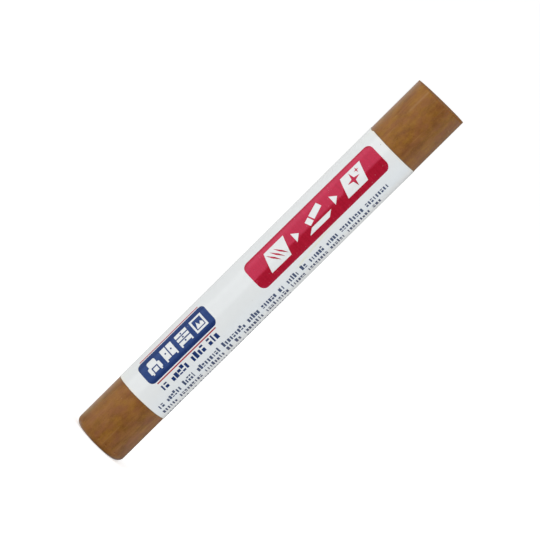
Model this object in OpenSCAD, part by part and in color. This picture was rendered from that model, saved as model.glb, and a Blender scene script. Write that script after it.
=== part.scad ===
// Furniture repair wax stick: a round stick of coloured filler wax, with a printed film label
// wrapped round it and bare wax showing at both ends.
// The stick stands on its moulded end with +Z along it. The origin is the centre of that end,
// and the printed front faces -Y. Angles round the stick are counted from the front towards +X.

/* [Wax stick] */
// Diameter of the wax
stick_d = 14.3; // [12:0.1:18]
// Length of the wax, foot to the highest point of the cut end
stick_len = 114.3; // [108:0.1:140]
// Radius of the rounded edge round the moulded foot
foot_round = 1.7; // [0.5:0.1:2.5]
// Lean of the knife-cut end out of square, in degrees
cut_lean = 1.2; // [0:0.1:2.5]

/* [Label] */
// Bare wax below the label
foot_bare = 14.9; // [8:0.1:18]
// Bare wax above the label
top_bare = 16; // [8:0.1:18]
// Thickness of the adhesive under the label film
glue_t = 0.02; // [0.01:0.005:0.05]
// Thickness of the label film
film_t = 0.05; // [0.03:0.01:0.12]
// Thickness that stands for the printed ink
ink_t = 0.05; // [0.03:0.01:0.08]
// How far the film's outer end laps over its inner end
lap_w = 3; // [1:0.5:5]
// Bare film between the last printed line and the lap
lap_clear = 3.4; // [1:0.1:6]

/* [Red panel] */
// Width of the red panel round the stick
red_w = 8.2; // [7:0.1:10]
// Corner radius of the red panel
red_corner = 1.6; // [0.5:0.1:2.5]
// Distance from the red panel to the label's upper edge
red_inset = 2.8; // [1:0.1:5]
// Distance round the stick from the front to the middle of the red panel, against +X
red_side = 1.6; // [1:0.1:2.5]
// Red left beside the pictures
red_border = 1.5; // [1.2:0.1:2]
// Red left beyond the first and the last picture
red_end_room = 4.4; // [2:0.1:6]
// Red between two pictures, with an arrow in it
arrow_room = 4.6; // [3:0.1:5]

/* [Navy panel] */
// Length of the navy panel along the stick
navy_len = 21.7; // [18:0.1:26]
// Width of the navy panel round the stick
navy_w = 6.5; // [6:0.1:7.5]
// Corner radius of the navy panel
navy_corner = 1.3; // [0.5:0.1:2.2]
// Distance from the navy panel to the label's lower edge
navy_inset = 4.5; // [1:0.1:6]
// Distance round the stick from the front to the middle of the navy panel, against +X
navy_side = 3.1; // [2.5:0.05:4]
// Bare film between the navy panel and the red panel
panel_gap = 12.7; // [6:0.1:18]
// Navy left beside the pictures
navy_border = 1.3; // [1:0.1:1.8]
// Navy left beyond the first and the last picture
navy_end_room = 1.7; // [1:0.1:3]
// Navy between two pictures
furniture_gap = 1.2; // [0.8:0.1:1.6]
// Width of the thin navy lines inside the pictures
detail_t = 0.3; // [0.2:0.05:0.4]
// Width of the red rule along each side of the navy panel
rule_t = 0.3; // [0.2:0.05:0.6]
// Bare film between the navy panel and each red rule
rule_gap = 0.3; // [0.2:0.05:0.6]

/* [Printed lines] */
// Height of the marks in the bold line
bold_h = 1.4; // [1:0.1:2]
// Length along the line that one mark of the bold line takes
bold_pitch = 1.1; // [0.9:0.05:1.4]
// Bare film between the red rule and the bold line
bold_gap = 0.8; // [0.3:0.05:1.2]
// How much shorter the bold line is than the navy panel, at each end
bold_inset = 1; // [0.5:0.1:2]
// Height of the marks in the small lines
small_h = 1.2; // [0.8:0.1:1.4]
// Length along the line that one mark of the small lines takes
small_pitch = 0.92; // [0.7:0.02:1.2]
// Bare film between the bold line and the first small line
small_gap = 1.85; // [1.2:0.05:3]
// Distance round the stick from one small line to the next
line_pitch = 2.15; // [1.9:0.05:2.4]
// Distance from the small lines to the label's lower edge
line_inset = 1.6; // [0.5:0.1:4]

/* [Hidden] */
// The film and the inks are so thin that circles need many steps
$fn = 360;

// Overrun of every cut past the surface that it opens
over = 1;

// The stick and the layers on it, from the wax outwards
stick_r = stick_d / 2;
film_r = stick_r + glue_t;
print_r = film_r + film_t;
label_len = stick_len - foot_bare - top_bare;
label_top = foot_bare + label_len;

// Each panel's start along the stick, from the foot
navy_start = foot_bare + navy_inset;
red_start = navy_start + navy_len + panel_gap;
red_len = label_top - red_inset - red_start;

// Middles of the printed lines, as distances round the stick from the front
rule_side = navy_w / 2 + rule_gap + rule_t / 2;
bold_side = rule_side + rule_t / 2 - navy_side + bold_gap + bold_h / 2;
first_line_side = bold_side + bold_h / 2 + small_gap + small_h / 2;

// Straight steps in each rounded corner
corner_steps = 6;

// Pictures of the red panel, as shares of their width and height: a slanting board with
// scratches, a wax stick that rubs along a board, and a whole board with glints
board_shares = [[0.00, 0.00], [0.80, 0.00], [1.00, 1.00], [0.20, 1.00]];
scratch_shares = [[0.36, 0.84], [0.455, 0.52], [0.64, 0.16], [0.545, 0.48]];
scratch_count = 3;
scratch_pitch_share = 0.15;
rubbed_board_share = 0.24;
stick_tip_shares = [[0.14, 0.66], [0.22, 0.33], [0.39, 0.43], [0.32, 0.76]];
stick_body_shares = [[0.36, 0.79], [0.44, 0.46], [0.86, 0.70], [0.79, 1.02]];
glint_shares = [
    [0.50, 0.90], [0.55, 0.57], [0.74, 0.50], [0.55, 0.43], [0.50, 0.10], [0.45, 0.43],
    [0.26, 0.50], [0.45, 0.57],
];
small_glint_share = 0.4;
small_glint_place_shares = [0.25, 0.27];
arrow_shares = [[0.32, 0.22], [0.68, 0.50], [0.32, 0.78]];

// Pictures of the navy panel, as shares of their width and height: an armchair, a cupboard,
// a chest of drawers and a framed picture of hills
armchair_shares = [
    [0.10, 0.00], [0.22, 0.00], [0.22, 0.10], [0.78, 0.10], [0.78, 0.00], [0.90, 0.00],
    [0.90, 0.10], [1.00, 0.10], [1.00, 0.54], [0.94, 0.60], [0.84, 0.60], [0.84, 0.92],
    [0.76, 1.00], [0.24, 1.00], [0.16, 0.92], [0.16, 0.60], [0.06, 0.60], [0.00, 0.54],
    [0.00, 0.10], [0.10, 0.10],
];
seat_w_share = 0.50;
seat_top_share = 0.48;
cupboard_shares = [
    [0.00, 0.00], [0.12, 0.00], [0.12, 0.12], [0.88, 0.12], [0.88, 0.00], [1.00, 0.00],
    [1.00, 1.00], [0.00, 1.00],
];
cupboard_foot_share = 0.12;
knob_share = 1.5;
frame_bar_share = 0.14;
hill_shares = [[0.20, 0.20], [0.80, 0.20], [0.80, 0.42], [0.66, 0.56], [0.52, 0.36], [0.38, 0.66]];

// Shares of the label's length that the small lines fill, from the front round the side
front_line_shares = [0.93, 0.89];
side_line_shares = [0.52, 0.90, 0.84, 0.91, 0.36];
line_count = len(front_line_shares) + len(side_line_shares);
// A word has this many marks at least, and fewer than the spread more
shortest_word = 2;
word_spread = 9;
// The rule that varies the words takes these steps along a line and from line to line
word_step = 5;
word_bend = 7;
line_step = 3;
bold_line_step = 3;

// Angle that a length along the printed surface takes up
function around(length) = length / print_r * 180 / PI;

// Straight width that an arc of the printed surface has, seen square on
function chord(arc) = 2 * print_r * sin(around(arc) / 2);

// A picture's outline at its size, round its own middle
function sized(shares, w, h) = [for (p = shares) [(p[0] - 0.5) * w, (p[1] - 0.5) * h]];

// Outline of a plate with round corners, round its own middle
function plate_points(w, h, r) = [
    for (corner = [0:3], step = [0:corner_steps])
        let (
            side_x = corner == 0 || corner == 3 ? 1 : -1,
            side_y = corner < 2 ? 1 : -1,
            a = 90 * (corner + step / corner_steps)
        )
        [side_x * (w / 2 - r) + r * cos(a), side_y * (h / 2 - r) + r * sin(a)]
];

// Marks in one word
function word_marks(line, i) =
    shortest_word + (word_bend * i * i + word_step * i + line_step * line) % word_spread;

// Words of a line as [start, length] along the stick, until the line is full
function words(line, i, start, end, pitch) =
    let (marks = min(word_marks(line, i), floor((end - start) / pitch)))
    marks < 1
        ? []
        : concat([[start, marks * pitch]],
                 words(line, i + 1, start + (marks + 1) * pitch, end, pitch));

// A tube round the stick's axis
module tube(r_in, r_out, z, h) {
    difference() {
        translate([0, 0, z]) cylinder(r = r_out, h = h);
        translate([0, 0, z - over]) cylinder(r = r_in, h = h + 2 * over);
    }
}

// Part of such a tube, from one angle from the front through a span
module tube_part(r_in, r_out, z, h, from, span) {
    rotate([0, 0, from - 90])
        rotate_extrude(angle = span)
            translate([r_in, z]) square([r_out - r_in, h]);
}

// Lays a flat design on the printed surface. Its x is the reading direction, up the stick.
module printed(side, mid) {
    intersection() {
        tube(print_r, print_r + ink_t, foot_bare, label_len);
        rotate([0, 0, around(side)])
            translate([0, 0, mid])
                rotate([90, 0, 0])
                    linear_extrude(print_r + ink_t + over) rotate(90) children();
    }
}

// A line of word bars along the stick
module word_bars(line, side, h, pitch, start, end) {
    for (word = words(line, 0, start, end, pitch))
        tube_part(print_r, print_r + ink_t, word[0], word[1], around(side - h / 2), around(h));
}

// The wax: cast with a rounded foot, and cut off with a knife at the other end
module wax_stick() {
    color([0.51, 0.34, 0.17])
    difference() {
        rotate_extrude() {
            translate([0, foot_round]) square([stick_r, stick_len - foot_round + over]);
            square([stick_r - foot_round, foot_round]);
            translate([stick_r - foot_round, foot_round]) circle(foot_round);
        }
        translate([stick_r, 0, stick_len])
            rotate([0, -cut_lean, 0])
                translate([-stick_d - over, -stick_r - over, 0])
                    cube([stick_d + 2 * over, stick_d + 2 * over, stick_d]);
    }
}

// Clear adhesive between the wax and the film
module label_adhesive() {
    color([0.90, 0.88, 0.80])
    tube(stick_r, film_r, foot_bare, label_len);
}

// White film wrapped once round, with its outer end lapped over its inner end at the back
module label_film() {
    last_line_side = first_line_side + (line_count - 1) * line_pitch + small_h / 2;
    color([0.93, 0.94, 0.94])
    union() {
        tube(film_r, print_r, foot_bare, label_len);
        tube_part(film_r + film_t / 2, print_r + glue_t + film_t, foot_bare, label_len,
                  around(last_line_side + lap_clear), around(lap_w));
    }
}

// Red panel with three pictures left open, which the white film shows through
module red_panel_ink() {
    h = chord(red_w) - 2 * red_border;
    w = (red_len - 2 * (red_end_room + arrow_room)) / 3;
    pitch = w + arrow_room;
    color([0.70, 0.08, 0.18])
    printed(-red_side, red_start + red_len / 2)
    difference() {
        polygon(plate_points(red_len, chord(red_w), red_corner));
        translate([-pitch, 0]) scratched_board(w, h);
        rubbed_board(w, h);
        translate([pitch, 0]) mended_board(w, h);
        // Arrows from each picture to the next
        for (side = [-1, 1])
            translate([side * pitch / 2, 0])
                polygon(sized(arrow_shares, arrow_room, h));
    }
}

// Slanting board with a row of scratches
module scratched_board(w, h) {
    difference() {
        polygon(sized(board_shares, w, h));
        for (i = [0:scratch_count - 1])
            translate([(i - (scratch_count - 1) / 2) * w * scratch_pitch_share, 0])
                polygon(sized(scratch_shares, w, h));
    }
}

// Low board, and a stick with a band round it that rubs along it
module rubbed_board(w, h) {
    board_h = h * rubbed_board_share;
    translate([0, (board_h - h) / 2]) polygon(sized(board_shares, w, board_h));
    polygon(sized(stick_tip_shares, w, h));
    polygon(sized(stick_body_shares, w, h));
}

// Slanting board with a large and a small four-pointed glint
module mended_board(w, h) {
    difference() {
        polygon(sized(board_shares, w, h));
        polygon(sized(glint_shares, w, h));
        translate([w * small_glint_place_shares[0], h * small_glint_place_shares[1]])
            polygon(sized(glint_shares, w * small_glint_share, h * small_glint_share));
    }
}

// Navy panel with four pieces of furniture left open
module navy_panel_ink() {
    h = chord(navy_w) - 2 * navy_border;
    w = (navy_len - 2 * navy_end_room - 3 * furniture_gap) / 4;
    pitch = w + furniture_gap;
    color([0.15, 0.24, 0.46])
    printed(-navy_side, navy_start + navy_len / 2)
    difference() {
        polygon(plate_points(navy_len, chord(navy_w), navy_corner));
        translate([-1.5 * pitch, 0]) armchair(w, h);
        translate([-0.5 * pitch, 0]) cupboard(w, h, 2, 1);
        translate([0.5 * pitch, 0]) cupboard(w, h, 1, 3);
        translate([1.5 * pitch, 0]) framed_picture(w, h);
    }
}

// Armchair from the front, with a thin line between the seat and the arms and back
module armchair(w, h) {
    seat_w = w * seat_w_share;
    seat_top = h * seat_top_share;
    difference() {
        polygon(sized(armchair_shares, w, h));
        translate([-seat_w / 2, -h / 2])
            difference() {
                translate([0, -over]) square([seat_w, seat_top + over]);
                translate([detail_t, -2 * over])
                    square([seat_w - 2 * detail_t, seat_top - detail_t + 2 * over]);
            }
    }
}

// Cupboard on two feet, with doors side by side or drawers one above the other
module cupboard(w, h, columns, rows) {
    foot = h * cupboard_foot_share;
    body_h = h - foot;
    difference() {
        polygon(sized(cupboard_shares, w, h));
        translate([-w / 2, foot - h / 2]) {
            if (columns > 1)
                for (i = [1:columns - 1])
                    translate([(w * i / columns) - detail_t / 2, -over])
                        square([detail_t, body_h + 2 * over]);
            if (rows > 1)
                for (i = [1:rows - 1])
                    translate([-over, (body_h * i / rows) - detail_t / 2])
                        square([w + 2 * over, detail_t]);
            for (i = [0.5:columns], j = [0.5:rows])
                translate([w * i / columns, body_h * j / rows])
                    circle(d = detail_t * knob_share);
        }
    }
}

// Four bars round a picture of two hills
module framed_picture(w, h) {
    bar = w * frame_bar_share;
    difference() {
        square([w, h], center = true);
        square([w - 2 * bar, h - 2 * bar], center = true);
    }
    polygon(sized(hill_shares, w, h));
}

// Red rules along both long sides of the navy panel
module red_rules_ink() {
    color([0.70, 0.08, 0.18])
    for (side = [-1, 1])
        tube_part(print_r, print_r + ink_t, navy_start + navy_corner, navy_len - 2 * navy_corner,
                  around(side * rule_side - navy_side - rule_t / 2), around(rule_t));
}

// Bold line of word bars beside the navy panel
module bold_line_ink() {
    color([0.16, 0.22, 0.38])
    word_bars(bold_line_step, bold_side, bold_h, bold_pitch,
              navy_start + bold_inset, navy_start + navy_len - bold_inset);
}

// Small lines of word bars, one for each share of the label's length that they fill
module small_lines(first, shares) {
    color([0.33, 0.37, 0.50])
    for (i = [0:len(shares) - 1])
        word_bars(first + i, first_line_side + (first + i) * line_pitch, small_h, small_pitch,
                  foot_bare + line_inset, foot_bare + label_len * shares[i]);
}

// Small lines that face the front
module front_lines_ink() {
    small_lines(0, front_line_shares);
}

// The small lines that follow them round the side
module side_lines_ink() {
    small_lines(len(front_line_shares), side_line_shares);
}

wax_stick();
label_adhesive();
label_film();
red_panel_ink();
navy_panel_ink();
red_rules_ink();
bold_line_ink();
front_lines_ink();
side_lines_ink();
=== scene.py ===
# %% [markdown]
# A furniture repair wax stick is a finger-long rod of coloured filler wax with a printed film
# label wrapped round it. It is rubbed along a scratch until the scratch is full, and the rest
# is wiped off. This lesson dresses the finished construction of the stick for a photograph.
# The construction comes in first and stays as it is, and the sizes of the stick, its label and
# each print are read from it.

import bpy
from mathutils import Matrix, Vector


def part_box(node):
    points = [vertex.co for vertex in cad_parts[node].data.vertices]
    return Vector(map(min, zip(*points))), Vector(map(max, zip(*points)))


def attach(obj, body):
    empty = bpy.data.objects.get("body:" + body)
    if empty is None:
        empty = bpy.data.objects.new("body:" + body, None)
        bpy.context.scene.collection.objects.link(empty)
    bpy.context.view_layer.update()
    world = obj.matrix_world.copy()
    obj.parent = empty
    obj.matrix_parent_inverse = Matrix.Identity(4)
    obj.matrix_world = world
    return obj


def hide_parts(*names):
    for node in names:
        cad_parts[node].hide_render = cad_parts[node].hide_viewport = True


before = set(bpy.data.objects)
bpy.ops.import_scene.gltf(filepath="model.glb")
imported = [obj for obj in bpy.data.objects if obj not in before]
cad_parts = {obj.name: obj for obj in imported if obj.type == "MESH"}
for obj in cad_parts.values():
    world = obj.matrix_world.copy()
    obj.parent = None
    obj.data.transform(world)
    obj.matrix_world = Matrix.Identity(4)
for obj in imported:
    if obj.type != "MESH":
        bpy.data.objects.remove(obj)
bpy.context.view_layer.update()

import math
import random

import bmesh
import bpy
from mathutils import Matrix, Vector, noise

MM = 0.001  # Blender counts in metres
print("pieces in the construction:", sorted(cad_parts))

# %% [markdown]
# The stick stands on its rounded foot, so heights count up from zero. Every layer of the label
# is a thin tube round the same axis, and the two numbers that place a point on it are its
# height and its angle round the stick. The angle is zero at the printed front, which faces -Y,
# and grows towards +X. Reading both from a piece's own points gives the place of each print.

# %% Sizes of the stick and its label
def angle_of(point):
    """Angle of a point round the stick, from the front towards +X, in radians."""
    return math.atan2(point.x, -point.y)


def radius_of(point):
    """Distance of a point from the axis of the stick."""
    return math.hypot(point.x, point.y)


def on_stick(radius, angle, height):
    """The point at a radius, an angle and a height."""
    return Vector((radius * math.sin(angle), -radius * math.cos(angle), height))


stick_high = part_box("wax_stick")[1]
stick_radius = stick_high.y
stick_length = stick_high.z
label_low, label_high = (corner.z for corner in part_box("label_film"))
label_middle = (label_low + label_high) / 2

film_points = [v.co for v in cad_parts["label_film"].data.vertices]
film_inner = min(radius_of(p) for p in film_points)
lap_outer = max(radius_of(p) for p in film_points)
glue_thickness = film_inner - stick_radius
film_thickness = (lap_outer - film_inner - glue_thickness) / 2
film_outer = film_inner + film_thickness

lap_angles = [angle_of(p) % math.tau for p in film_points if radius_of(p) > film_outer + glue_thickness]
lap_from = min(lap_angles)
lap_to = max(lap_angles)
print(f"wax {stick_radius / MM:.2f} mm in radius and {stick_length / MM:.1f} mm long")
print(f"film {film_thickness / MM:.3f} mm thick over {glue_thickness / MM:.3f} mm of adhesive")
print(f"the lap runs from {math.degrees(lap_from):.0f} to {math.degrees(lap_to):.0f} degrees")

# %% [markdown]
# A product picture of something this small is taken with a long lens from more than a metre
# away, which keeps its sides nearly parallel. Here the stick crosses the picture from corner to
# corner. Rather than tip the stick over, the camera is turned on its side: its right and up
# directions are mixed from the direction of the stick and the direction across it.

# %% Camera
LENS = 320.5  # in millimetres, as is the width of the sensor
SENSOR = 36
CLIP = (0.05, 50)  # the camera sees what lies between these distances in metres
CAMERA_DISTANCE = 1.13
CAMERA_RISE = math.radians(5.2)
STICK_TURN = math.radians(44.68)  # the stick's direction in the picture, up from the right
FRAME_SHIFT = (0.0025, 0.0036)


def put_in_scene(name, data):
    """Makes an object of a camera, a lamp or a mesh, and puts it in the scene."""
    thing = bpy.data.objects.new(name, data)
    bpy.context.scene.collection.objects.link(thing)
    return thing


backward = Vector((0, -math.cos(CAMERA_RISE), math.sin(CAMERA_RISE)))
across = Vector((1, 0, 0))
along = backward.cross(across)
right = along * math.cos(STICK_TURN) + across * math.sin(STICK_TURN)
up = along * math.sin(STICK_TURN) - across * math.cos(STICK_TURN)

camera_data = bpy.data.cameras.new("camera")
camera_data.lens = LENS
camera_data.sensor_width = SENSOR
camera_data.shift_x, camera_data.shift_y = FRAME_SHIFT
camera_data.clip_start, camera_data.clip_end = CLIP
camera = put_in_scene("camera", camera_data)
aim = Vector((0, 0, stick_length / 2))
turn = Matrix((right, up, backward)).transposed().to_4x4()
camera.matrix_world = Matrix.Translation(aim + backward * CAMERA_DISTANCE) @ turn
bpy.context.scene.camera = camera
print("camera at", tuple(round(c, 3) for c in camera.matrix_world.translation))

# %% [markdown]
# Shader maths reads best as plain sums. The small class below wraps one output socket of a
# node, so that `mask * 0.5 + 0.1` adds the two Math nodes that it says. Two kinds of mask are
# needed again and again, a rise between two places and a stretch with soft ends, so each has a
# method of its own.

# %% A value in a material
class Value:
    """One output socket of a node, which can be added, taken away, multiplied and divided."""

    def __init__(self, finish, socket):
        self.finish = finish
        self.socket = socket

    def _math(self, operation, *values):
        return self.finish.add("ShaderNodeMath", {"operation": operation}, list(values))

    def __add__(self, other):
        return self._math("ADD", self, other)

    def __sub__(self, other):
        return self._math("SUBTRACT", self, other)

    def __mul__(self, other):
        return self._math("MULTIPLY", self, other)

    def __truediv__(self, other):
        return self._math("DIVIDE", self, other)

    def __radd__(self, other):
        return self._math("ADD", other, self)

    def __rsub__(self, other):
        return self._math("SUBTRACT", other, self)

    def __rmul__(self, other):
        return self._math("MULTIPLY", other, self)

    def __rtruediv__(self, other):
        return self._math("DIVIDE", other, self)

    def __abs__(self):
        return self._math("ABSOLUTE", self)

    def between(self, low, high):
        """0 at low, 1 at high, and held there beyond them."""
        sockets = {"Value": self, "From Min": low, "From Max": high}
        return self.finish.add("ShaderNodeMapRange", {"clamp": True}, sockets)

    def within(self, start, full, fading, end):
        """Rises from 0 at start to 1 at full, and falls from there at fading to 0 at end."""
        return self.between(start, full) * self.between(end, fading)


print("values ready")

# %% [markdown]
# The second class holds the nodes of one material. Its method `add` makes any kind of node: the
# settings go in first, and then each input is either given a number or joined to another
# socket. The other methods are short names for what the finishes below use often: places on the
# stick, noise, mixed colours and the shader itself.

# %% The nodes of a material
class Finish:
    """The nodes of one material, or of the world."""

    def __init__(self, name, world=None):
        self.material = world or bpy.data.materials.new(name)
        self.material.use_nodes = True
        self.output = "ShaderNodeOutputWorld" if world else "ShaderNodeOutputMaterial"
        self.tree = self.material.node_tree
        self.tree.nodes.clear()

    def add(self, kind, settings=None, sockets=None, output=0):
        """Adds a node. sockets is a list of inputs in order, or a dictionary of named ones."""
        node = self.tree.nodes.new(kind)
        for name, setting in (settings or {}).items():
            if name == "stops":
                self._set_stops(node.color_ramp, setting)
            else:
                setattr(node, name, setting)
        pairs = enumerate(sockets) if isinstance(sockets, list) else (sockets or {}).items()
        for key, value in pairs:
            target = node.inputs[key]
            if isinstance(value, Value):
                self.tree.links.new(value.socket, target)
            elif value is not None:
                target.default_value = value
        return Value(self, node.outputs[output]) if len(node.outputs) else None

    def _set_stops(self, ramp, stops):
        while len(ramp.elements) < len(stops):
            ramp.elements.new(1)
        for element, (position, colour) in zip(ramp.elements, stops):
            element.position = position
            element.color = (*colour, 1)

    def place(self, stretch=(1, 1, 1)):
        """Where a point of the piece is, in millimetres, with each axis stretched."""
        place = self.add("ShaderNodeTexCoord", output="Object")
        factors = tuple(s / MM for s in stretch)
        return self.add("ShaderNodeVectorMath", {"operation": "MULTIPLY"}, [place, factors])

    def axis(self, name):
        """How far along X, Y or Z a point of the piece is, in millimetres."""
        return self.add("ShaderNodeSeparateXYZ", {}, [self.place()], output=name)

    def angle(self):
        """Angle of a point round the stick, from the front towards +X, in radians."""
        sides = [self.axis("X"), 0 - self.axis("Y")]
        return self.add("ShaderNodeMath", {"operation": "ARCTAN2"}, sides)

    def noise(self, stretch, detail, roughness=0.5):
        """Noise from 0 to 1. A larger stretch packs it closer along that axis."""
        sockets = {"Vector": self.place(stretch), "Scale": 1, "Detail": detail, "Roughness": roughness}
        return self.add("ShaderNodeTexNoise", {}, sockets)

    def mix(self, factor, first, second):
        """A colour between two colours, which are inputs 6 and 7 of the node and its output 2."""
        first, second = (c if isinstance(c, Value) else (*c, 1) for c in (first, second))
        sockets = {0: factor, 6: first, 7: second}
        return self.add("ShaderNodeMix", {"data_type": "RGBA"}, sockets, output=2)

    def layers(self, colour, *layers):
        """A colour with others laid over it, each given after how much of it shows."""
        for share, over in layers:
            colour = self.mix(share, colour, over)
        return colour

    def bump(self, height, distance, strength):
        """A normal bent by a height from 0 to 1, which stands for a distance in metres."""
        sockets = {"Height": height, "Distance": distance, "Strength": strength}
        return self.add("ShaderNodeBump", {}, sockets)

    def surface(self, **sockets):
        """The Principled shader, with its inputs by name and underscores for spaces."""
        named = {key.replace("_", " "): value for key, value in sockets.items()}
        self.show(self.add("ShaderNodeBsdfPrincipled", {}, named))

    def show(self, shader):
        """Joins a shader to the output of the material or the world."""
        self.add(self.output, {}, {"Surface": shader})


print("finishes ready")

# %% [markdown]
# The pictures of such goods stand on pure white. The floor is a pale matt surface that also
# glows a little, but only for the camera and for reflections, so it looks white without
# lighting the stick more, and the stick's soft shadow still falls on it. The world behind it
# works the same way: plain grey light for the stick, and white to look at.

# %% Floor and surroundings
FLOOR_SIZE = 60
FLOOR_COLOUR = (0.90, 0.90, 0.90)
FLOOR_GLOW = 0.52
WORLD_LIGHT = 0.672


def seen_directly(finish):
    """1 for what the camera, a reflection or clear material sees, and 0 for light that bounces."""
    camera_ray, glossy_ray, clear_ray = (
        finish.add("ShaderNodeLightPath", output=kind)
        for kind in ("Is Camera Ray", "Is Glossy Ray", "Is Transmission Ray")
    )
    sockets = [camera_ray + glossy_ray + clear_ray, 1]
    return finish.add("ShaderNodeMath", {"operation": "MINIMUM"}, sockets)


def shape_in_scene(name, shape, finish):
    """Makes an object of a bmesh, which stays where it was drawn."""
    data = bpy.data.meshes.new(name)
    shape.to_mesh(data)
    shape.free()
    data.materials.append(finish.material)
    return put_in_scene(name, data)


floor_finish = Finish("pale floor")
matt = floor_finish.add("ShaderNodeBsdfDiffuse", {}, {"Color": (*FLOOR_COLOUR, 1)})
glow = floor_finish.add("ShaderNodeEmission", {}, {"Strength": seen_directly(floor_finish) * FLOOR_GLOW})
floor_finish.show(floor_finish.add("ShaderNodeAddShader", {}, [matt, glow]))

floor_shape = bmesh.new()
bmesh.ops.create_grid(floor_shape, x_segments=1, y_segments=1, size=FLOOR_SIZE / 2)
floor = shape_in_scene("floor", floor_shape, floor_finish)

world = bpy.data.worlds.new("white surroundings")
bpy.context.scene.world = world
surroundings = Finish("white surroundings", world)
strength = seen_directly(surroundings) * (1 - WORLD_LIGHT) + WORLD_LIGHT
surroundings.show(surroundings.add("ShaderNodeBackground", {}, {"Strength": strength}))
print("floor glow", FLOOR_GLOW, "world light", WORLD_LIGHT)

# %% [markdown]
# One broad softbox stands on the left and one on the right, far enough off to light the whole
# stick evenly. They are hidden from reflections, because a paper wall takes care of those.

# %% Softboxes
def softbox(name, azimuth, rise, distance, width, height, power):
    """A soft rectangular lamp that faces the middle of the stick."""
    data = bpy.data.lights.new(name, "AREA")
    data.shape = "RECTANGLE"
    data.size, data.size_y = width, height
    data.energy = power
    lamp = put_in_scene(name, data)
    a, e = math.radians(azimuth), math.radians(rise)
    away = Vector((math.sin(a) * math.cos(e), -math.cos(a) * math.cos(e), math.sin(e)))
    lamp.location = aim + away * distance
    lamp.rotation_euler = away.to_track_quat("Z", "Y").to_euler()
    lamp.visible_camera = False
    lamp.visible_glossy = False


softbox("left softbox", azimuth=-46, rise=22, distance=1.3, width=1.4, height=1.4, power=8.5)
softbox("right softbox", azimuth=62, rise=20, distance=1.4, width=1.0, height=1.2, power=5.8)

# %% [markdown]
# A glossy round label shows the room itself as upright stripes. A paper wall all round the
# stick stands for that room, and the paper runs over the floor too. A bent line, spun once
# round the stick, makes both. Only reflections see them, so they take no light from the stick.

# %% Paper wall
WALL_RADIUS = 0.10
WALL_HEIGHT = 0.40
WALL_STEPS = 72
PAPER_HOLE = 1 * MM  # the radius of the hole that the spin leaves in the paper under the stick
PAPER_LIFT = 0.1 * MM  # how far the paper lies above the floor
WALL_PROFILE = ((PAPER_HOLE, PAPER_LIFT), (WALL_RADIUS, PAPER_LIFT), (WALL_RADIUS, WALL_HEIGHT))

wall_shape = bmesh.new()
wall_points = [wall_shape.verts.new((radius, 0, height)) for radius, height in WALL_PROFILE]
wall_edges = [wall_shape.edges.new(pair) for pair in zip(wall_points, wall_points[1:])]
bmesh.ops.spin(wall_shape, geom=wall_points + wall_edges, cent=(0, 0, 0), axis=(0, 0, 1),
               angle=math.tau, steps=WALL_STEPS, use_merge=True)
wall_finish = Finish("paper wall")
wall = shape_in_scene("paper wall", wall_shape, wall_finish)
for sight in ("visible_camera", "visible_diffuse", "visible_transmission", "visible_shadow"):
    setattr(wall, sight, False)
print("the wall has", len(wall.data.polygons), "faces")

# %% [markdown]
# The paper is brighter in some directions than in others, and a colour ramp holds its light for
# each. There is a pale veil on the left with a brighter stripe of window in it, a clean line
# where the dark side of the room begins, and the cool tint of daylight on the right. Higher up
# the stripes lean where they stand in front, and close to the foot the paper is darker. It is
# dark behind the stick too, but for a grey card as high as the label, which keeps the label's
# right rim pale. On the left, warm cards above and below that height give the bare wax a
# broader pale rim than the label has.

# %% Light on the paper
PLAIN = (1, 1, 1)
COOL = (0.55, 0.95, 1.40)
WALL_LEVELS = (  # degrees from the front towards +X, how bright the wall is there, and its tint
    (-180, 0.25, PLAIN), (-171, 0.25, PLAIN), (-165, 0.80, PLAIN), (-81, 0.80, PLAIN),
    (-75, 1.78, PLAIN), (-63, 1.78, PLAIN), (-56, 1.40, PLAIN), (-17.5, 1.40, PLAIN),
    (-11.5, 0.12, PLAIN), (27, 0.13, PLAIN), (43, 0.40, COOL), (60, 0.66, COOL), (80, 0.82, COOL),
    (100, 0.72, COOL), (118, 0.50, PLAIN), (134, 0.36, PLAIN), (147, 0.08, PLAIN),
    (180, 0.04, PLAIN),
)
WALL_FOOT = (12, 30)  # millimetres out from the stick, where the paper on the floor grows bright
WALL_FOOT_LEVEL = 0.40
WALL_PEAK = 2.0  # a colour ramp holds at most 1, so its colours are shares of this
WALL_PLUMB = 55  # the stripes are upright up to this height in millimetres
WALL_LEAN = math.radians(11.5)  # how far those in front have leant over at the stick's cut end
BESIDE_LABEL = (2, 8, 87, 93)  # the heights in millimetres where the label is mirrored
GREY_CARD = (132, 148)  # the degrees over which the grey card sets in
GREY_CARD_LIGHT = (0.42, 0.42, 0.42)
WARM_CARDS = (-146, -128, -112, -92)  # the degrees over which the warm cards set in and end
WARM_CARD_LIGHT = (1.08, 1.14, 0.88)


def paper_light(tint, level=1):
    """The light of the paper as shares of its peak."""
    return [level * share / WALL_PEAK for share in tint]


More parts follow.
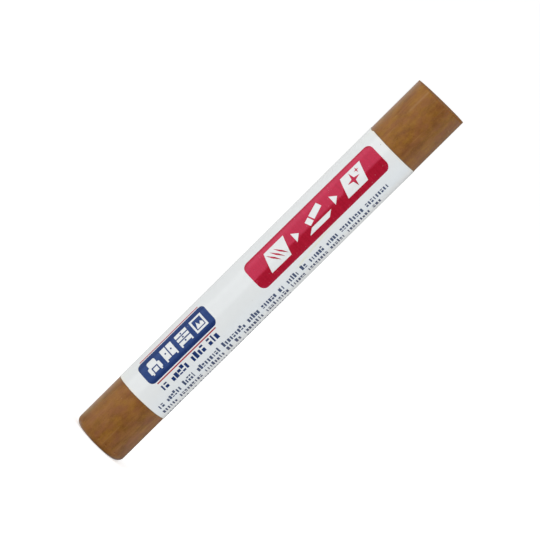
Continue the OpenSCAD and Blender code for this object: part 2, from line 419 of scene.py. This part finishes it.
direction = wall_finish.angle()
height = wall_finish.axis("Z")
toward_front = wall_finish.add("ShaderNodeMath", {"operation": "COSINE"}, [direction])
lean = height.between(WALL_PLUMB, stick_length / MM) * WALL_LEAN
direction = direction - lean * toward_front * toward_front
wall_stops = [((degrees + 180) / 360, paper_light(tint, level))
              for degrees, level, tint in WALL_LEVELS]
stripes = wall_finish.add("ShaderNodeValToRGB", {"stops": wall_stops},
                          [direction / math.tau + 0.5])
beside_label = height.within(*BESIDE_LABEL)
turned = direction * math.degrees(1)
grey_card = turned.between(*GREY_CARD) * beside_label
warm_cards = turned.within(*WARM_CARDS) * (1 - beside_label)
stripes = wall_finish.layers(
    stripes,
    (grey_card, paper_light(GREY_CARD_LIGHT)),
    (warm_cards, paper_light(WARM_CARD_LIGHT)),
)
from_foot = wall_finish.add("ShaderNodeVectorMath", {"operation": "LENGTH"},
                            [wall_finish.place()], output="Value")
foot_light = from_foot.between(*WALL_FOOT) * (1 - WALL_FOOT_LEVEL) + WALL_FOOT_LEVEL
wall_glow = {"Color": stripes, "Strength": foot_light * WALL_PEAK}
wall_finish.show(wall_finish.add("ShaderNodeEmission", {}, wall_glow))
print("the paper has", len(WALL_LEVELS), "levels of light and a peak of", WALL_PEAK)

# %% [markdown]
# Every piece ends the same way. Its faces are turned to point outwards, its mesh becomes an
# object at the origin, curved faces are shaded smooth while real edges stay sharp, and it is
# tied to the body of the construction that it belongs to.

# %% Finishing a piece
SHARP_OVER = math.radians(40)  # faces that meet at more than this keep a sharp edge


def make_piece(shape, name, finish, replaced):
    """Turns a bmesh into a finished piece that stands for some pieces of the construction."""
    bmesh.ops.recalc_face_normals(shape, faces=shape.faces)
    open_edges = sum(1 for edge in shape.edges if not edge.is_manifold)
    piece = shape_in_scene(name, shape, finish)
    faces = piece.data.polygons
    faces.foreach_set("use_smooth", [True] * len(faces))
    piece.data.set_sharp_from_angle(angle=SHARP_OVER)
    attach(piece, "root")
    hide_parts(*replaced)
    triangles = sum(len(face.vertices) - 2 for face in faces)
    print(f"{name}: {triangles} triangles, {open_edges} open edges")


# %% [markdown]
# The wax is cast in a tube and cut to length. A cylinder gives the rod, a bevel rounds its foot
# as the mould does, and the other end is sheared by the small lean of the knife. Extra rings
# and insets then give the bare ends enough points to be shaped by noise: wax is never quite
# round, it carries faint drag lines from the mould, and its edges are slightly bruised. Under
# the label nothing shows, so that stretch stays coarse.

# %% The wax rod
RIM_STEPS = 320
FOOT_STEPS = 10
BARE_RINGS = 80
COVERED_RINGS = 12
CAP_RINGS = 26
MARGIN = 0.5 * MM  # how far the close rings reach in under the label, and stop short of the cut
TOUCH = 0.02 * MM  # what lies closer than this to a place counts as there
FLAT = 0.01 * MM  # points of the construction below this height belong to the flat of its foot

rod_points = [v.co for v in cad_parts["wax_stick"].data.vertices]
foot_round = stick_radius - max(abs(p.x) for p in rod_points if p.z < FLAT)
cut_heights = [p.z for p in rod_points if p.z > label_high + MM]
cut_lean = (max(cut_heights) - min(cut_heights)) / (2 * stick_radius)


def edges_between(shape, low, high):
    """Edges that run along the stick between two heights."""
    def inside(edge):
        heights = sorted(v.co.z for v in edge.verts)
        return heights[0] > low - TOUCH and heights[1] < high + TOUCH

    return [e for e in shape.edges if inside(e) and abs(e.verts[0].co.z - e.verts[1].co.z) > MM]


wax = bmesh.new()
bmesh.ops.create_cone(wax, cap_ends=True, cap_tris=False, segments=RIM_STEPS,
                      radius1=stick_radius, radius2=stick_radius, depth=stick_length)
bmesh.ops.translate(wax, verts=wax.verts, vec=(0, 0, stick_length / 2))
foot_rim = [e for e in wax.edges if all(v.co.z < TOUCH for v in e.verts)]
bmesh.ops.bevel(wax, geom=foot_rim, offset=foot_round, offset_type="OFFSET", affect="EDGES",
                segments=FOOT_STEPS, profile=0.5, material=-1, clamp_overlap=False)
limits = (foot_round, label_low + MARGIN, label_high - MARGIN, stick_length - MARGIN)
for height in limits[1:]:
    bmesh.ops.bisect_plane(wax, geom=wax.verts[:] + wax.edges[:] + wax.faces[:],
                           plane_co=(0, 0, height), plane_no=(0, 0, 1), dist=MM / 1000)
for low, high, rings in zip(limits, limits[1:], (BARE_RINGS, COVERED_RINGS, BARE_RINGS)):
    bmesh.ops.subdivide_edges(wax, edges=edges_between(wax, low, high), cuts=rings)


def add_cap_rings(shape, height, rings):
    """Insets the flat face at a height again and again, down to its middle."""
    cap = max((f for f in shape.faces if abs(f.calc_center_median().z - height) < TOUCH),
              key=lambda f: len(f.verts))
    step = max(radius_of(v.co) for v in cap.verts) / (rings + 1)
    for _ in range(rings):
        bmesh.ops.inset_region(shape, faces=[cap], thickness=step, use_even_offset=False)
    bmesh.ops.poke(shape, faces=[cap])


add_cap_rings(wax, 0, CAP_RINGS)
add_cap_rings(wax, stick_length, CAP_RINGS)
for vertex in wax.verts:
    if vertex.co.z > stick_length - TOUCH:
        vertex.co.z -= cut_lean * (stick_radius - vertex.co.x)
print(f"foot rounded by {foot_round / MM:.2f} mm, cut leans {math.degrees(cut_lean):.2f} degrees")

# %% [markdown]
# The noise only ever takes wax away, so the rod stays inside its true size. Slow noise makes
# it a little out of round, stretched noise draws the lines along it, and short noise near the
# two rims rubs small bits off them. The knife leaves shallow ridges along its stroke, which
# went from front to back over the cut face.

# %% Wear and tool marks on the wax
OUT_OF_ROUND = 0.012 * MM
DRAG_LINES = 0.0035 * MM
DENTS = 0.006 * MM
SIDE_WEAR = (  # how deep, how large across and along the stick, and where in the noise
    (OUT_OF_ROUND, 5 * MM, 30 * MM, 0),
    (DRAG_LINES, 0.45 * MM, 14 * MM, 3),
    (DENTS, 2.2 * MM, 4 * MM, 7),
)
RIM_WEAR = 0.16 * MM
RIM_REACH = 1 * MM  # how far from the two rims the wax is rubbed
KNIFE_RIDGES = 0.022 * MM
KNIFE_SLANT = 0.15  # how far the stroke drifts sideways, and how little the ridges change along it
KNIFE_CHANGE = 0.06
CUT_SKIN = 0.05 * MM  # points within this depth belong to the cut face


def noise_at(point, across_size, along_size, offset=0.0):
    """Smooth noise from 0 to 1, with blobs of these sizes across and along the stick."""
    sample = Vector((point.x / across_size, point.y / across_size, point.z / along_size + offset))
    return min(1, max(0, 0.5 + 0.75 * noise.noise(sample)))


for vertex in wax.verts:
    place = vertex.co.copy()
    radius = radius_of(place)
    if radius < TOUCH:
        continue
    outward = Vector((place.x, place.y, 0)) / radius
    depth = sum(deepest * noise_at(place, *blobs) for deepest, *blobs in SIDE_WEAR)
    to_cut = stick_length - cut_lean * (stick_radius - place.x) - place.z
    on_side = radius > stick_radius - TOUCH
    for distance in (to_cut, place.z - foot_round):
        if on_side and 0 <= distance < RIM_REACH:
            rubbed = noise_at(place, 0.5 * MM, 0.5 * MM, 11) ** 2
            depth += RIM_WEAR * (1 - distance / RIM_REACH) ** 3 * rubbed
    vertex.co -= outward * depth * (radius / stick_radius)
    if to_cut < CUT_SKIN and not on_side:
        stroke = Vector((place.x + place.y * KNIFE_SLANT, place.y * KNIFE_CHANGE, 0))
        ridge = noise_at(stroke, 0.35 * MM, MM)
        vertex.co.z -= KNIFE_RIDGES * ridge * (1 - radius / stick_radius) ** 0.3
    elif place.z < TOUCH:
        vertex.co.z += 0.5 * DENTS * noise_at(place, 1.3 * MM, MM, 5) * (1 - radius / stick_radius)
print("wax surface worked")

# %% [markdown]
# Filler wax has a satin surface: colour and a soft gloss that differs from patch to patch. Its
# pigment is stirred in, so brown and ochre lie in clouds drawn out along the rod, with dark and
# pale specks and a few fine scratches. A weak glow under the surface keeps its shaded side
# warm. Light gets into the wax before it comes back, so even its shine is tinted. The thin coat
# has a low refractive index: it hardly shows from the front but mirrors the room at the rims.
# The rounded edge of the foot gets paler colour as painted light from below, and the cut face is
# left dull, with no coat. The knife has dragged one pale line down from the cut end.

# %% Wax finish
DRAG_ANGLE = math.radians(-30)  # where the pale line runs, from the front towards +X
DRAG_FADE = (106, 108.5)  # the heights in millimetres between which it fades in
DRAG_HALF = (0.42, 0.08)  # half its width, in millimetres, with and without its soft edges
PAINTED_FOOT_HEIGHTS = (1.9, 0.3)  # the heights in millimetres down which the painted light on the foot's edge sets in
CUT_DEPTH = (0.45, 0.35)  # the depths in millimetres up which the dull cut face sets in
WAX_BROWN = (0.172, 0.062, 0.0080)
WAX_OCHRE = (0.306, 0.136, 0.0215)
WAX_RUSSET = (0.240, 0.078, 0.0455)
# paler colour painted on the foot's rounded edge, standing for light from below
WAX_PAINTED_FOOT_LIGHT = (0.350, 0.158, 0.034)
DARK_SPECK = (0.090, 0.030, 0.006)
PALE_SPECK = (0.46, 0.28, 0.11)
WAX_SCRATCHED = (0.42, 0.24, 0.10)

wax_finish = Finish("filler wax")
fine_lines = wax_finish.noise((2.2, 2.2, 0.12), detail=4)
broad_lines = wax_finish.noise((0.50, 0.50, 0.05), detail=2)
clouds = wax_finish.noise((0.55, 0.55, 0.28), detail=4, roughness=0.6)
grain = wax_finish.noise((4, 4, 3), detail=3)
hue = wax_finish.noise((0.60, 0.60, 0.35), detail=3).between(0.35, 0.65)
scratches = wax_finish.noise((3.2, 3.2, 0.10), detail=0).between(0.74, 0.80)
specks = wax_finish.noise((2.2, 2.2, 1.6), detail=1).between(0.72, 0.80)
pale_specks = wax_finish.noise((1.5, 1.5, 1.1), detail=1).between(0.74, 0.82)
wax_height = wax_finish.axis("Z")
# painted light: the rounded edge of the foot is painted paler where it faces the floor
painted_foot_light = wax_height.between(*PAINTED_FOOT_HEIGHTS)
cut_face = wax_height.between(*(stick_length / MM - depth for depth in CUT_DEPTH))
from_drag = abs(wax_finish.angle() - DRAG_ANGLE) * (stick_radius / MM)
drag_line = from_drag.between(*DRAG_HALF) * wax_height.between(*DRAG_FADE)
tone = fine_lines * 0.16 + broad_lines * 0.12 + clouds * 0.48 + grain * 0.24
wax_colour = wax_finish.layers(
    wax_finish.mix(tone.between(0.40, 0.60), WAX_BROWN, WAX_OCHRE),
    (hue * 0.45, WAX_RUSSET),
    (painted_foot_light * 0.55, WAX_PAINTED_FOOT_LIGHT),
    (specks * 0.40, DARK_SPECK),
    (pale_specks * 0.35, PALE_SPECK),
    (scratches * 0.16 + drag_line * 0.32, WAX_SCRATCHED),
)
relief = fine_lines * 0.5 + grain * 0.35 - specks * 0.4 - scratches * 0.3 - drag_line * 0.2
wax_finish.surface(
    Base_Color=wax_colour,
    Roughness=grain * 0.16 + clouds * 0.12 + 0.26 + cut_face * 0.30,
    IOR=1.41,
    Specular_Tint=(1.0, 0.80, 0.45, 1),
    Subsurface_Weight=0.10,
    Subsurface_Radius=(1.0, 0.45, 0.2),
    Subsurface_Scale=0.0008,
    Coat_Weight=(grain * 0.3 + 0.25) * (1 - cut_face),
    Coat_Roughness=0.10,
    Coat_IOR=1.20,
    Normal=wax_finish.bump(relief, 0.03 * MM, 0.45),
)
make_piece(wax, "wax_rod", wax_finish, ["wax_stick"])

# %% [markdown]
# The label is one thin sheet of film with adhesive on its back, cut to size by hand. That leaves
# its two ends a little off square, with a nick in the upper one and a step in the lower one
# where the knife started again. The film is never pulled quite tight either. These small faults
# are functions of the place on the stick, so that every layer of the label can follow them.

# %% Small faults of the label
LOW_EDGE_BACK = 0.208 * MM  # how far the edge is cut back, and how far it drifts from that
LOW_EDGE_DRIFT = 0.138 * MM
HIGH_EDGE_BACK = 0.124 * MM
HIGH_EDGE_DRIFT = 0.043 * MM
EDGE_ROUGHNESS = 0.03 * MM
SNIP_ANGLE = math.radians(-30)  # where the knife cut of the lower edge starts again
SNIP_DEPTH = 0.04 * MM
SNIP_STEP = (-0.03, 0.03)  # the angles from there, in radians, over which it steps and eases off
SNIP_EASE = (-2.4, -0.2)
NICK_ANGLE = math.radians(-68)  # a nick in the upper edge
NICK_HALF = math.radians(9)
NICK_DEPTH = 0.26 * MM
NICK_SLOPE = 0.35  # the share of its half over which it grows deep
RIPPLE = 0.012 * MM


def smooth_step(value, low, high):
    """0 at low and 1 at high, with a soft start and a soft end."""
    share = min(1, max(0, (value - low) / (high - low)))
    return share * share * (3 - 2 * share)


def ripple(angle, height):
    """How far the film stands off at a point, because it isn't pulled quite tight."""
    place = on_stick(film_outer, angle, height)
    slow = noise.noise(Vector((place.x / (4 * MM), place.y / (4 * MM), place.z / (22 * MM))))
    quick = noise.noise(Vector((place.x / (1.6 * MM), place.y / (1.6 * MM), place.z / (6 * MM) + 9)))
    return RIPPLE * (slow + 0.25 * quick)


def edge_roughness(angle, offset):
    """The small unevenness of a cut edge. Each edge has its own offset."""
    return EDGE_ROUGHNESS * (0.5 + 0.5 * noise.noise(Vector((angle * 2.5, offset, 0.5))))


def low_edge(angle):
    """How far the lower edge of the film is cut back at an angle."""
    turned = math.remainder(angle - SNIP_ANGLE, math.tau)
    step = SNIP_DEPTH * smooth_step(turned, *SNIP_STEP) * smooth_step(-turned, *SNIP_EASE)
    return LOW_EDGE_BACK + LOW_EDGE_DRIFT * math.sin(angle) - step + edge_roughness(angle, 1)


def high_edge(angle):
    """How far the upper edge of the film is cut back at an angle."""
    from_nick = abs(math.remainder(angle - NICK_ANGLE, math.tau)) / NICK_HALF
    nick = NICK_DEPTH * smooth_step(1 - from_nick, 0, NICK_SLOPE)
    return HIGH_EDGE_BACK + HIGH_EDGE_DRIFT * math.sin(angle) + nick + edge_roughness(angle, 2)


print(f"in front the film is cut back {low_edge(0) / MM:.2f} and {high_edge(0) / MM:.2f} mm")

# %% [markdown]
# The sheet is wrapped once round the wax and runs a few millimetres over its own start, so the
# edge of that lap shows at the back. A flat grid is bent to that shape, because each of its
# points can simply be sent to an angle and a height. Solidify then gives it its thickness.

# %% Wrapping a sheet round the wax
RAMP = 0.7 * MM / film_outer  # the angle over which the film climbs onto its own start


def wrapped_sheet(inner_radius, thickness, inset, columns, rows):
    """A closed sheet round the wax, from the start of the lap once round and over itself."""
    sheet = bmesh.new()
    bmesh.ops.create_grid(sheet, x_segments=columns, y_segments=rows, size=0.5)
    sweep = math.tau + lap_to - lap_from
    step_up = film_thickness + glue_thickness
    for vertex in sheet.verts:
        turned = (vertex.co.x + 0.5) * sweep
        share = vertex.co.y + 0.5
        angle = lap_from + turned
        climb = smooth_step(turned, math.tau - RAMP, math.tau)
        low = label_low + low_edge(angle) + inset
        high = label_high - high_edge(angle) - inset
        height = low + (high - low) * share
        radius = inner_radius + climb * step_up + ripple(angle, height)
        vertex.co = on_stick(radius, angle, height)
    bmesh.ops.recalc_face_normals(sheet, faces=sheet.faces)
    if sum(f.normal.dot(f.calc_center_median() * Vector((1, 1, 0))) for f in sheet.faces) < 0:
        bmesh.ops.reverse_faces(sheet, faces=sheet.faces)
    bmesh.ops.solidify(sheet, geom=sheet.faces[:], thickness=-thickness)
    return sheet


print("a sheet wraps", round(math.degrees(math.tau + lap_to - lap_from)), "degrees")

# %% [markdown]
# White label film is glossy and a little see-through, so its colour is kept just short of pure
# white. Fingers leave faint warm smears of wax on it and a few dark crumbs, and its two ends
# are stained by the wax beside them. The gloss is broken by a relief so fine that it only shows
# as soft edges in what the film reflects. The inks lie under the same gloss, so one function
# gives that relief to all. Beside the red panel a thin line of dried glue has yellowed the film.
# It follows a slight bend, which a formula on the distance round the stick and the height gives.

# %% Film finish
GLOSS = 0.10  # roughness of the film and of the print on it
STAIN_TOP = 77.5  # height in millimetres at which the yellowed line runs straight up
STAIN_SIDE = 2.95  # its distance round the stick from the front there, in millimetres
STAIN_BEND = 150  # twice the radius of its bend, in millimetres
STAIN_HALF = (0.45, 0.05)  # half its width, in millimetres, with and without its soft edges
STAIN_ENDS = (62.5, 64, 74, 79)  # the heights in millimetres where it fades in and out again
WAXY_ENDS = (0.75, 0.25)  # how far in from its ends the wax stains the film, at all and fully
FILM_THIN = (0.78, 0.81, 0.818)
FILM_FULL = (0.83, 0.85, 0.852)
YELLOWED = (0.800, 0.800, 0.655)
SMEARED = (0.62, 0.50, 0.33)
WAXY = (0.835, 0.812, 0.755)
CRUMB = (0.22, 0.12, 0.06)


def gloss_relief(finish):
    """The fine waviness of gloss film."""
    return finish.bump(finish.noise((0.9, 0.9, 0.35), detail=2), 0.02 * MM, 0.10)


def near_label_ends(height, reach, full):
    """0 up to a reach from the label's ends and 1 from full on, all in millimetres."""
    half_label = (label_high - label_low) / 2 / MM
    return abs(height - label_middle / MM).between(half_label - reach, half_label - full)


film_finish = Finish("gloss label film")
film_height = film_finish.axis("Z")
below = STAIN_TOP - film_height
from_stain = film_finish.angle() * (film_outer / MM) - STAIN_SIDE - below * below / STAIN_BEND
patches = film_finish.noise((0.9, 0.9, 0.5), detail=2).between(0.30, 0.60)
stain = abs(from_stain).between(*STAIN_HALF) * film_height.within(*STAIN_ENDS) * (patches * 0.6 + 0.4)
smear = film_finish.noise((0.16, 0.16, 0.09), detail=5, roughness=0.65).between(0.60, 0.80)
crumbs = film_finish.noise((1.7, 1.7, 1.7), detail=1).between(0.80, 0.83)
cloudy = film_finish.noise((0.05, 0.05, 0.03), detail=2)
film_colour = film_finish.layers(
    film_finish.mix(cloudy, FILM_THIN, FILM_FULL),
    (stain, YELLOWED),
    (smear * 0.10, SMEARED),
    (near_label_ends(film_height, *WAXY_ENDS), WAXY),
    (crumbs * 0.6, CRUMB),
)
film_finish.surface(
    Base_Color=film_colour,
    Roughness=smear * 0.12 + GLOSS,
    IOR=1.52,
    Normal=gloss_relief(film_finish),
)
film = wrapped_sheet(film_inner, film_thickness, inset=0, columns=360, rows=110)
make_piece(film, "film_wrap", film_finish, ["label_film"])

# %% [markdown]
# The adhesive is a clear layer thinner than a hair. A little of it has crept out beyond both
# ends of the film, and there it is coloured dark, which draws a fine dark line along the label's
# edges. It is soft, so it also fills what the uneven wax lacks. The finish finds the dark edge by height
# alone.

# %% Adhesive
GLUE_OOZE = 0.15 * MM
GLUE_FILL = 0.04 * MM  # how deep it reaches into the uneven wax
GLUE_DARK_REACH = (0.4, 0.2)  # how far in from the label's ends the adhesive is dark, at all and fully
GLUE_WARM = (0.66, 0.60, 0.47)
GLUE_PALE = (0.74, 0.70, 0.58)
# the dark colour of the adhesive close to the label's ends
GLUE_DARK_EDGE = (0.130, 0.066, 0.026)

glue_finish = Finish("clear adhesive")
glue_cloud = glue_finish.noise((0.8, 0.8, 0.8), detail=3)
# the adhesive is darker close to the label's ends
dark_edge = near_label_ends(glue_finish.axis("Z"), *GLUE_DARK_REACH)
glue_finish.surface(
    Base_Color=glue_finish.layers(
        glue_finish.mix(glue_cloud, GLUE_WARM, GLUE_PALE), (dark_edge * 0.95, GLUE_DARK_EDGE)),
    Roughness=glue_cloud * 0.2 + 0.35,
    IOR=1.47,
)
glue = wrapped_sheet(stick_radius - GLUE_FILL, glue_thickness + GLUE_FILL,
                     inset=-GLUE_OOZE, columns=288, rows=60)
make_piece(glue, "adhesive_layer", glue_finish, ["label_adhesive"])

# %% [markdown]
# The two panels are flat designs bent round the stick. Their outlines already exist in the
# construction, so a copy of each is merged into one shell and sliced by planes through the
# axis and across it. That gives the coarse shell enough points to follow the round film
# exactly. Each point first notes which side of the shell it is on, and a point that a slice
# adds gets its note from its two neighbours. The outer side then comes down to a coat of ink.

# %% Printed panels
INK = 0.02 * MM
INK_SINK = 0.002 * MM  # how far it reaches into the film, so that no gap shows
PANEL_SLICE = math.radians(1.2)
PANEL_RING = 1.4 * MM
PRINT_SKEW = 0.0068  # how far the print drifts round the stick for each length along it


def merged_copy(node):
    """A bmesh of a construction piece, with the corners of its loose triangles joined."""
    shape = bmesh.new()
    shape.from_mesh(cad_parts[node].data)
    bmesh.ops.remove_doubles(shape, verts=shape.verts, dist=MM / 2000)
    return shape


def slice_by(shape, point, direction):
    """Cuts new edges into a shape along a plane."""
    bmesh.ops.bisect_plane(shape, geom=shape.verts[:] + shape.edges[:] + shape.faces[:],
                           plane_co=point, plane_no=direction, dist=MM / 20000)


def evenly(places, size):
    """Cuts that split the stretch between the outer places into parts no larger than a size."""
    low, high = min(places), max(places)
    parts = math.ceil((high - low) / size)
    return [low + (high - low) * i / parts for i in range(1, parts)]


def lay_on_film(angle, height, above):
    """A point of the print this far above the film's surface."""
    angle = angle + PRINT_SKEW * (height - label_middle) / film_outer
    return on_stick(film_outer + ripple(angle, height) + above, angle, height)


def printed_panel(node, name, finish):
    """Lays the ink of a construction piece on the round film."""
    shape = merged_copy(node)
    angles = [angle_of(v.co) for v in shape.verts]
    heights = [v.co.z for v in shape.verts]
    outer = max(radius_of(v.co) for v in shape.verts)
    side = shape.verts.layers.float.new("share of the ink's thickness")
    for vertex in shape.verts:
        vertex[side] = (radius_of(vertex.co) - film_outer) / (outer - film_outer)
    for angle in evenly(angles, PANEL_SLICE):
        slice_by(shape, (0, 0, 0), (math.cos(angle), math.sin(angle), 0))
    for height in evenly(heights, PANEL_RING):
        slice_by(shape, (0, 0, height), (0, 0, 1))
    for vertex in shape.verts:
        above = INK if vertex[side] > 0.5 else -INK_SINK
        vertex.co = lay_on_film(angle_of(vertex.co), vertex.co.z, above)
    make_piece(shape, name, finish, [node])


print(f"ink {INK / MM:.2f} mm thick, which drifts {PRINT_SKEW * (label_high - label_low) / MM:.2f} mm")

# %% [markdown]
# Solid print is never quite even. The drum that lays it leaves faint bands across the
# direction of travel, and tiny spots where less ink took. Both are so weak that they show
# only close by, but without them the panels look like plastic. Dense ink also tints the light
# that its gloss throws back, so its shine is stronger than clear film's and has its own colour.

# %% Ink finishes
BARE_SPOT = (0.75, 0.72, 0.74)


def ink_finish(name, thin, full, light_spots, shine, shine_colour):
    """Solid print. shine is the refractive index that sets how strongly it mirrors the room."""
    finish = Finish(name)
    bands = finish.noise((0.10, 0.10, 1.8), detail=3)
    mottle = finish.noise((2.4, 2.4, 2.4), detail=3)
    spots = finish.noise((4, 4, 4), detail=0).between(0.80, 0.86)
    density = (bands * 0.6 + mottle * 0.4).between(0.32, 0.68)
    finish.surface(
        Base_Color=finish.layers(finish.mix(density, thin, full), (spots * light_spots, BARE_SPOT)),
        Roughness=mottle * 0.05 + GLOSS,
        IOR=shine,
        Specular_Tint=(*shine_colour, 1),
        Normal=gloss_relief(finish),
    )
    return finish


red_ink = ink_finish("red ink", thin=(0.47, 0.0090, 0.033), full=(0.36, 0.0040, 0.017),
                     light_spots=0.25, shine=2.09, shine_colour=(1, 0.20, 0.38))
navy_ink = ink_finish("navy ink", thin=(0.018, 0.043, 0.170), full=(0.011, 0.029, 0.120),
                      light_spots=0.20, shine=1.60, shine_colour=(0.28, 0.46, 1))
grey_ink = ink_finish("small print ink", thin=(0.065, 0.075, 0.150), full=(0.045, 0.055, 0.110),
                      light_spots=0.0, shine=1.48, shine_colour=(1, 1, 1))
printed_panel("red_panel_ink", "red_panel", red_ink)
printed_panel("navy_panel_ink", "navy_panel", navy_ink)
printed_panel("red_rules_ink", "red_rules", red_ink)

# %% [markdown]
# The small lines are made of plain blocks, as tall and as dense as print of that size. Each
# group of them fills one bar of the construction, so the bars are measured first. A bar is found
# by walking from one of its corners over the edges until no new corner turns up.

# %% Find the bars of the printed lines
def word_bars(node):
    """The angle and height ranges of each bar in a printed line."""
    shape = merged_copy(node)
    left = set(shape.verts)
    bars = []
    while left:
        group, queue = set(), [left.pop()]
        while queue:
            vertex = queue.pop()
            group.add(vertex)
            near = {e.other_vert(vertex) for e in vertex.link_edges} & left
            left -= near
            queue += near
        angles = [angle_of(v.co) % math.tau for v in group]
        heights = [v.co.z for v in group]
        bars.append((min(angles), max(angles), min(heights), max(heights)))
    shape.free()
    return sorted(bars)


bars_of = {node: word_bars(node) for node in ("bold_line_ink", "front_lines_ink", "side_lines_ink")}
print("bars:", {node: len(bars) for node, bars in bars_of.items()})

# %% [markdown]
# A block starts as a grid of one column and four rows, loses the row that its kind leaves open,
# is extruded, and is bent onto the film: the rows let it follow the curve. A seeded random
# generator picks the kinds, so every run is the same. The print round the side is finer than the
# rest, so its blocks fill only part of their bars.

# %% Printed lines
MARKS_SEED = 5
SMALL_PITCH = 0.80 * MM
BOLD_PITCH = 1.02 * MM
BLOCKS = (  # the width as a share of the pitch, its rows from the foot up, and how often it comes
    (0.74, "####", 5),
    (0.52, "####", 6),
    (0.34, "####", 3),
    (0.66, "###.", 1),
    (0.74, "##.#", 3),
    (0.74, "#.##", 2),
)
BOLD = 1.12  # how much wider the blocks of the bold line are
FINE_HIGH = 0.54  # how tall the blocks of the fine print round the side are, as a share of a bar
FINE_WIDE = 0.80  # how wide they are, as a share of the usual width
TALL_CHANCE = 0.22  # how many of the blocks are taller than the rest, and by how much
TALL = 1.32


def add_block(shape, rows, low, high, foot, rise):
    """One printed block between two heights. rise is the angle from its foot to its head."""
    made = bmesh.ops.create_grid(shape, x_segments=1, y_segments=len(rows), size=0.5)["verts"]
    faces = sorted({f for v in made for f in v.link_faces}, key=lambda f: f.calc_center_median().y)
    inked = [f for f, row in zip(faces, rows) if row == "#"]
    bmesh.ops.delete(shape, geom=[f for f in faces if f not in inked], context="FACES")
    top = bmesh.ops.extrude_face_region(shape, geom=inked, use_keep_orig=True)["geom"]
    raised = {g for g in top if isinstance(g, bmesh.types.BMVert)}
    for vertex in raised | {v for f in inked for v in f.verts}:
        height = low if vertex.co.x < 0 else high
        above = INK if vertex in raised else -INK_SINK
        vertex.co = lay_on_film(foot + rise * (vertex.co.y + 0.5), height, above)


def printed_lines(node, name, finish, pitch, widened=1.0, lowered=1.0):
    """Fills the bars of a node with blocks. The foot of a line is on its +X side."""
    shape = bmesh.new()
    chance = random.Random(MARKS_SEED)
    chances = [often for _, _, often in BLOCKS]
    count = 0
    for head, foot, low, high in bars_of[node]:
        marks = max(1, round((high - low) / pitch))
        step = (high - low) / marks
        for i in range(marks):
            width, rows, _ = chance.choices(BLOCKS, chances)[0]
            rise = (head - foot) * lowered * (TALL if chance.random() < TALL_CHANCE else 1)
            middle = low + step * (i + 0.5)
            half = step * width * widened / 2
            add_block(shape, rows, middle - half, middle + half, foot, rise)
            count += 1
    print(name, "has", count, "blocks")
    make_piece(shape, name, finish, [node])


printed_lines("bold_line_ink", "bold_line", navy_ink, BOLD_PITCH, widened=BOLD)
printed_lines("front_lines_ink", "front_lines", grey_ink, SMALL_PITCH)
printed_lines("side_lines_ink", "side_lines", grey_ink, SMALL_PITCH,
              widened=FINE_WIDE, lowered=FINE_HIGH)

# %% [markdown]
# Last, the scene's colours are shown with the standard view transform.

# %% The view transform
bpy.context.scene.view_settings.view_transform = "Standard"
